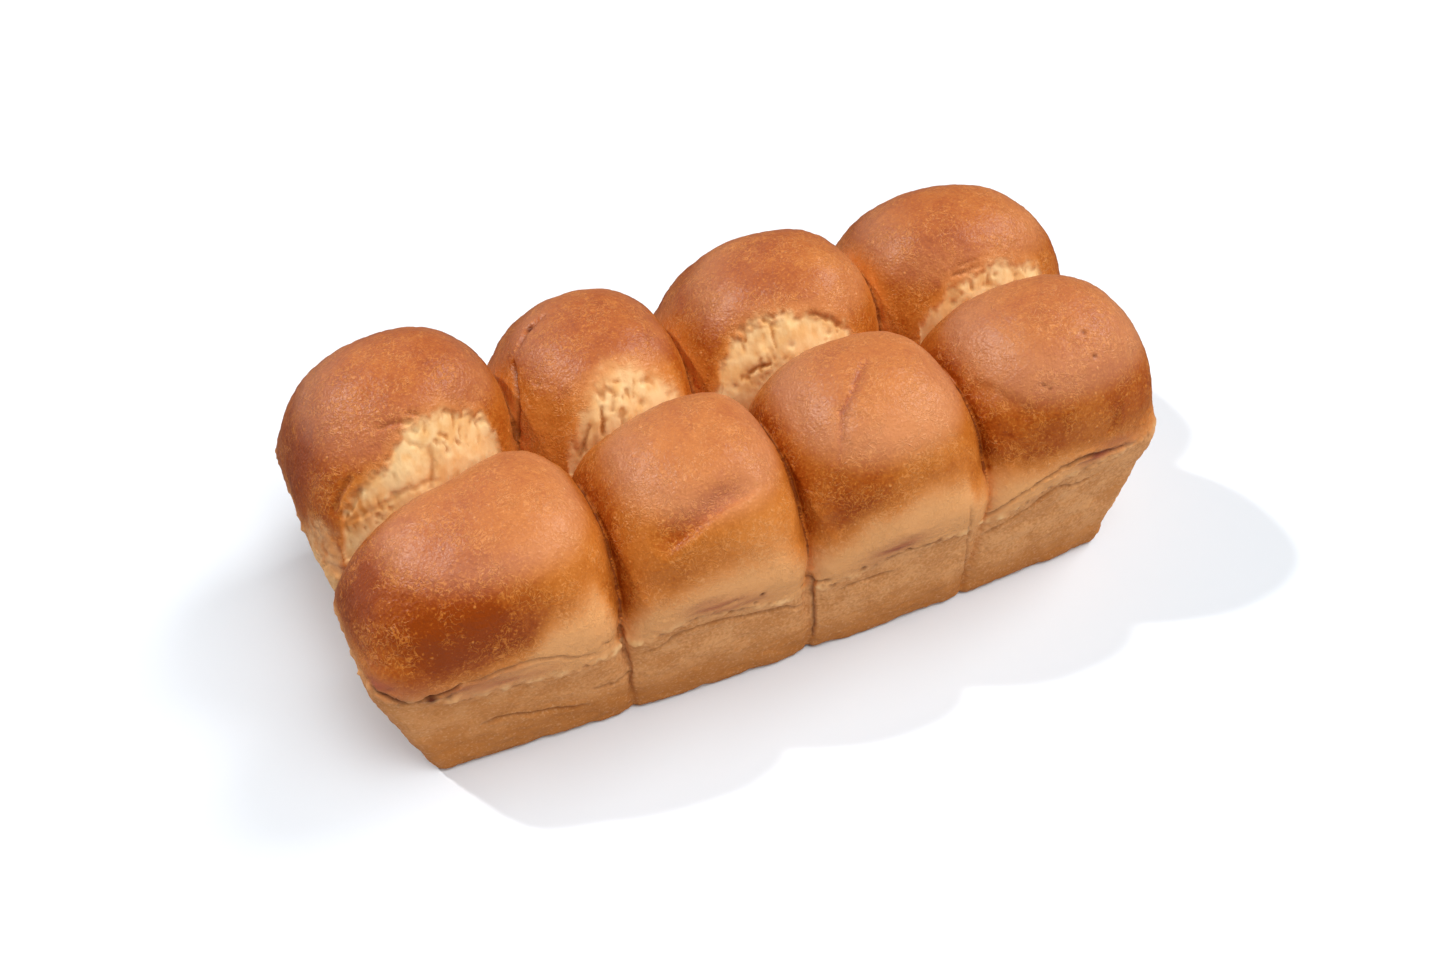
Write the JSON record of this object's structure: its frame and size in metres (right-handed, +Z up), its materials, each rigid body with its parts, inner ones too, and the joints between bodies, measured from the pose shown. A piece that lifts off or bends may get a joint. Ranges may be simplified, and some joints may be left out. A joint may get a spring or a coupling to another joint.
{
  "type": "brioche loaf",
  "caption": "Pull-apart brioche loaf: rounded dough balls baked side by side in a tin, with browned domes above paler straight sides and a flat underside.",
  "frame": {"origin": "middle of the underside's plane, below the middle of the loaf's box", "axes": "+X along the loaf, +Y from the front row of balls to the back row, +Z up"},
  "size_m": [0.289, 0.141, 0.0971],
  "materials": {
    "crust": "egg-washed brioche crust, baked brown with a soft satin shine on the domes, paler and matt on the tin-baked sides, cream where the crumb tore"
  },
  "bodies": {
    "root": {"loaf": "crust"}
  },
  "joints": []
}
